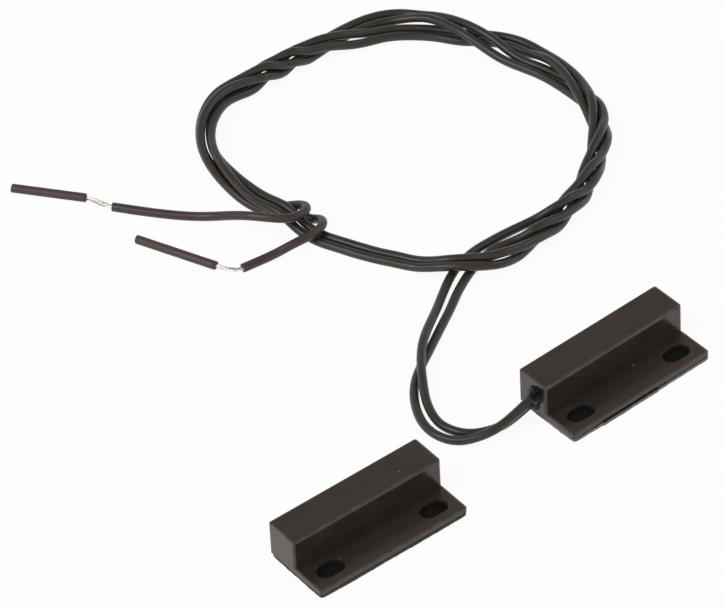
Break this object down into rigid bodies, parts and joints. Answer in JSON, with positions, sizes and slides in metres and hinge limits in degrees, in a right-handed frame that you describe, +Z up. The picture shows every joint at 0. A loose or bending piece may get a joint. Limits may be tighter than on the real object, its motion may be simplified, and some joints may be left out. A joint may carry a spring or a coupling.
{
  "type": "door contact sensor",
  "caption": "Surface door contact: a wired reed half with a hand-wound loop of wire and a matching magnet half, both slotted blocks with a side flange.",
  "frame": {"origin": "middle of the sensor half's mounting face, under its pad", "axes": "+X along the body, away from the wires; +Y to the tall block; +Z up, away from the mounting face"},
  "size_m": [0.1075, 0.1055, 0.007],
  "materials": {
    "black_plastic": "satin",
    "grey_foam": "matt foam",
    "potting": "cured resin",
    "black_glue": "glossy",
    "reed_glass": "clear green tint",
    "plated_lead": "plated",
    "solder": "dull",
    "wire_insulation": "satin",
    "sleeve_insulation": "matt",
    "tinned_strands": "tinned",
    "magnet": "plated"
  },
  "bodies": {
    "sensor": {"sensor_housing": "black_plastic", "sensor_adhesive_pad": "grey_foam", "sensor_potting": "potting", "wire_exit_sealant": "black_glue", "reed_glass_tube": "reed_glass", "reed_lead_near": "plated_lead", "reed_lead_far": "plated_lead", "solder_joint_near": "solder", "solder_joint_far": "solder", "inner_wire_near": "wire_insulation", "inner_wire_far": "wire_insulation", "inner_strands_far": "tinned_strands", "wire_a": "wire_insulation", "wire_b": "wire_insulation", "wire_a_strands": "tinned_strands", "wire_b_strands": "tinned_strands"},
    "magnet": {"magnet_housing": "black_plastic", "bar_magnet": "magnet", "magnet_potting": "potting", "magnet_adhesive_pad": "grey_foam"},
    "blade_near": {"reed_blade_near": "plated_lead"},
    "blade_far": {"reed_blade_far": "plated_lead"},
    "sleeve_a": {"wire_a_end_sleeve": "sleeve_insulation"},
    "sleeve_b": {"wire_b_end_sleeve": "sleeve_insulation"}
  },
  "joints": [
    {"name": "magnet_slide", "type": "slide", "parent": "sensor", "child": "magnet", "axis": [-1, 0, 0], "range_m": [-0.005, 0.03]},
    {"name": "blade_near_flex", "type": "hinge", "parent": "sensor", "child": "blade_near", "pos_m": [-0.0052, 0.00236, 0.0038], "axis": [0, 0, 1], "range_deg": [0, 1], "stiffness_Nm_per_rad": 0.000005},
    {"name": "blade_far_flex", "type": "hinge", "parent": "sensor", "child": "blade_far", "pos_m": [0.0052, 0.00275, 0.0038], "axis": [0, 0, 1], "range_deg": [0, 1], "stiffness_Nm_per_rad": 0.000005},
    {"name": "sleeve_a_pull", "type": "slide", "parent": "sensor", "child": "sleeve_a", "axis": [-0.5864, 0.81, 0], "range_m": [0, 0.012]},
    {"name": "sleeve_b_pull", "type": "slide", "parent": "sensor", "child": "sleeve_b", "axis": [-0.3633, 0.9317, 0], "range_m": [0, 0.014]}
  ],
  "couplings": [
    {"joint": "blade_far_flex", "follows": "blade_near_flex", "ratio": 1}
  ]
}
